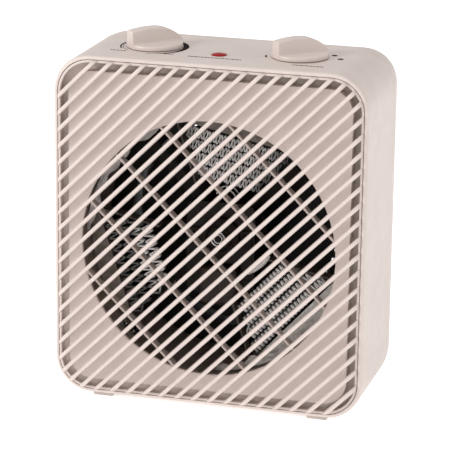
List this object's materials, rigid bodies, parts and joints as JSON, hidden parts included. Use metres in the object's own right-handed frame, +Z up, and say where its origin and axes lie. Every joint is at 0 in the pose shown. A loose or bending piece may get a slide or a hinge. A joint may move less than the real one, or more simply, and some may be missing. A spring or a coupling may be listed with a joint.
{
  "type": "fan heater",
  "caption": "Compact upright desktop fan heater: slanted front grille over a round duct and element, rear intake, two rotary controls and an indicator on top.",
  "frame": {"origin": "on the surface the heater stands on, under the middle of its bounding box", "axes": "+Z up; the front grille faces -Y and the intake +Y; +X is to the right as seen from the front"},
  "size_m": [0.224, 0.13, 0.265],
  "materials": {
    "casing_plastic": "satin moulded",
    "knob_plastic": "satin moulded",
    "black_plastic": "matte",
    "phenolic": "matte",
    "foot_rubber": "matte",
    "red_lens": "glossy, translucent",
    "lamp_glass": "clear",
    "duct_steel": "rolled sheet",
    "stator_steel": "laminated, oiled",
    "zinc_plate": "zinc plated",
    "resistance_ribbon": "bright, crimped ribbon",
    "mica": "satin flake board",
    "enamelled_copper": "varnished winding",
    "lead_insulation": "matte sleeve"
  },
  "bodies": {
    "casing": {"main_housing": "casing_plastic", "rear_cover": "casing_plastic", "front_grille": "casing_plastic", "cord_gland": "black_plastic", "fan_shroud": "black_plastic", "thermal_cutout": "phenolic", "thermostat_body": "phenolic", "mode_switch_body": "phenolic", "terminal_block": "phenolic", "foot_front_left": "foot_rubber", "foot_front_right": "foot_rubber", "foot_rear_left": "foot_rubber", "foot_rear_right": "foot_rubber", "indicator_lens": "red_lens", "indicator_lamp": "lamp_glass", "duct_ring": "duct_steel", "motor_mount": "duct_steel", "motor_stator": "stator_steel", "cover_screw_1": "zinc_plate", "cover_screw_2": "zinc_plate", "cover_screw_3": "zinc_plate", "cover_screw_4": "zinc_plate", "motor_front_bracket": "zinc_plate", "motor_rear_bracket": "zinc_plate", "thermostat_screw_1": "zinc_plate", "thermostat_screw_2": "zinc_plate", "mode_switch_screw_1": "zinc_plate", "mode_switch_screw_2": "zinc_plate", "heating_bank_1": "resistance_ribbon", "heating_bank_2": "resistance_ribbon", "heating_bank_3": "resistance_ribbon", "mica_board_1": "mica", "mica_board_2": "mica", "mica_board_3": "mica", "mica_board_4": "mica", "mica_board_5": "mica", "mica_board_6": "mica", "mica_plate_1": "mica", "mica_plate_2": "mica", "mica_plate_3": "mica", "motor_winding": "enamelled_copper", "lead_live": "lead_insulation", "lead_neutral": "lead_insulation", "lead_bridge": "lead_insulation"},
    "fan_rotor": {"motor_rotor": "stator_steel", "motor_shaft": "zinc_plate", "fan": "black_plastic", "fan_nut": "zinc_plate"},
    "thermostat_dial": {"thermostat_knob": "knob_plastic", "thermostat_stem": "zinc_plate"},
    "mode_dial": {"mode_switch_knob": "knob_plastic", "mode_switch_stem": "zinc_plate"}
  },
  "joints": [
    {"name": "fan_spin", "type": "hinge", "parent": "casing", "child": "fan_rotor", "pos_m": [0, 0, 0.119], "axis": [0, 1, 0], "continuous": true},
    {"name": "thermostat_turn", "type": "hinge", "parent": "casing", "child": "thermostat_dial", "pos_m": [-0.0525, -0.016, 0.2505], "axis": [0, 0, 1], "range_deg": [-270, 0]},
    {"name": "mode_turn", "type": "hinge", "parent": "casing", "child": "mode_dial", "pos_m": [0.0525, -0.016, 0.2505], "axis": [0, 0, 1], "range_deg": [-180, 0]}
  ]
}
